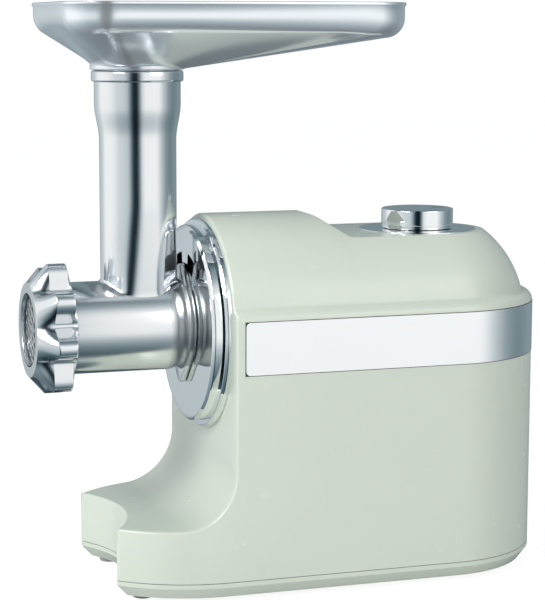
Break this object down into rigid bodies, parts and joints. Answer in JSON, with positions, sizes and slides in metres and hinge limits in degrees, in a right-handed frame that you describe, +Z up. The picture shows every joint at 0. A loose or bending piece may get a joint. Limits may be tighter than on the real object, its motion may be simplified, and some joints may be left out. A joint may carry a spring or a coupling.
{
  "type": "electric meat grinder",
  "caption": "Electric meat grinder: round-backed housing on two toes, bright bezel, grinding head with lobed ring nut, feed tube and hopper tray.",
  "frame": {"origin": "centre of the bounding box on the resting plane, under the middle of the machine", "axes": "+Z up, X along the auger axis with the outlet towards -X, +Y to the far side of the housing"},
  "size_m": [0.3633, 0.1616, 0.394],
  "materials": {
    "cream_plastic": "smooth gloss moulding",
    "cast_aluminium": "polished and lightly brushed casting",
    "tray_steel": "satin stainless sheet",
    "chrome_trim": "mirror chrome",
    "band_silver": "satin silver strip",
    "cutting_steel": "ground steel",
    "gear_steel": "oiled steel",
    "bronze": "sintered bronze and copper",
    "lamination": "varnished laminations",
    "winding": "enamelled wire in varnish",
    "dark_plastic": "moulded dark plastic",
    "white_nylon": "natural nylon",
    "case_metal": "die-cast shell",
    "board_green": "solder-masked board",
    "foot_rubber": "soft rubber",
    "carbon": "carbon graphite"
  },
  "bodies": {
    "machine": {"housing": "cream_plastic", "base_cover": "cream_plastic", "bezel_ring": "chrome_trim", "front_ring": "chrome_trim", "socket_plate": "chrome_trim", "knob_disc": "chrome_trim", "side_band": "band_silver", "base_screws": "gear_steel", "gearbox_screws": "gear_steel", "motor_bearings": "gear_steel", "output_bushes": "bronze", "counter_bushes": "bronze", "brush_holders": "bronze", "motor_core": "lamination", "field_coils": "winding", "cord_gland": "dark_plastic", "rotary_switch": "white_nylon", "terminal_block": "white_nylon", "gearbox_case": "case_metal", "gearbox_cover": "case_metal", "motor_front_frame": "case_metal", "motor_rear_frame": "case_metal", "circuit_board": "board_green", "rubber_feet": "foot_rubber", "carbon_brushes": "carbon"},
    "knob": {"control_knob": "chrome_trim", "knob_spindle": "gear_steel"},
    "auger_drive": {"output_gear": "gear_steel", "output_shaft": "gear_steel", "drive_socket": "cutting_steel", "auger": "cast_aluminium", "auger_shaft": "cutting_steel", "knife": "cutting_steel"},
    "countershaft": {"counter_gear": "gear_steel", "counter_shaft": "gear_steel"},
    "armature": {"motor_pinion": "gear_steel", "motor_shaft": "gear_steel", "armature_core": "lamination", "armature_windings": "winding", "commutator": "bronze", "cooling_fan": "dark_plastic"},
    "head": {"grinder_head": "cast_aluminium", "cutting_plate": "cutting_steel"},
    "nut": {"ring_nut": "cast_aluminium"},
    "tray": {"hopper_tray": "tray_steel"}
  },
  "joints": [
    {"name": "knob_turn", "type": "hinge", "parent": "machine", "child": "knob", "pos_m": [0.0995, 0, 0.25], "axis": [0, 0, 1], "range_deg": [-45, 45]},
    {"name": "auger_spin", "type": "hinge", "parent": "machine", "child": "auger_drive", "pos_m": [0, 0, 0.1765], "axis": [1, 0, 0], "continuous": true},
    {"name": "counter_spin", "type": "hinge", "parent": "machine", "child": "countershaft", "pos_m": [0, 0, 0.1225], "axis": [1, 0, 0], "continuous": true},
    {"name": "motor_spin", "type": "hinge", "parent": "machine", "child": "armature", "pos_m": [0, 0, 0.0775], "axis": [1, 0, 0], "continuous": true},
    {"name": "head_twist", "type": "hinge", "parent": "machine", "child": "head", "pos_m": [0, 0, 0.1765], "axis": [1, 0, 0], "range_deg": [0, 18]},
    {"name": "nut_turn", "type": "hinge", "parent": "head", "child": "nut", "pos_m": [0, 0, 0.1765], "axis": [1, 0, 0], "range_deg": [0, 360]},
    {"name": "tray_lift", "type": "slide", "parent": "head", "child": "tray", "axis": [0, 0, 1], "range_m": [0, 0.06]}
  ],
  "couplings": [
    {"joint": "counter_spin", "follows": "auger_spin", "ratio": -3.5},
    {"joint": "motor_spin", "follows": "auger_spin", "ratio": 17.5}
  ]
}
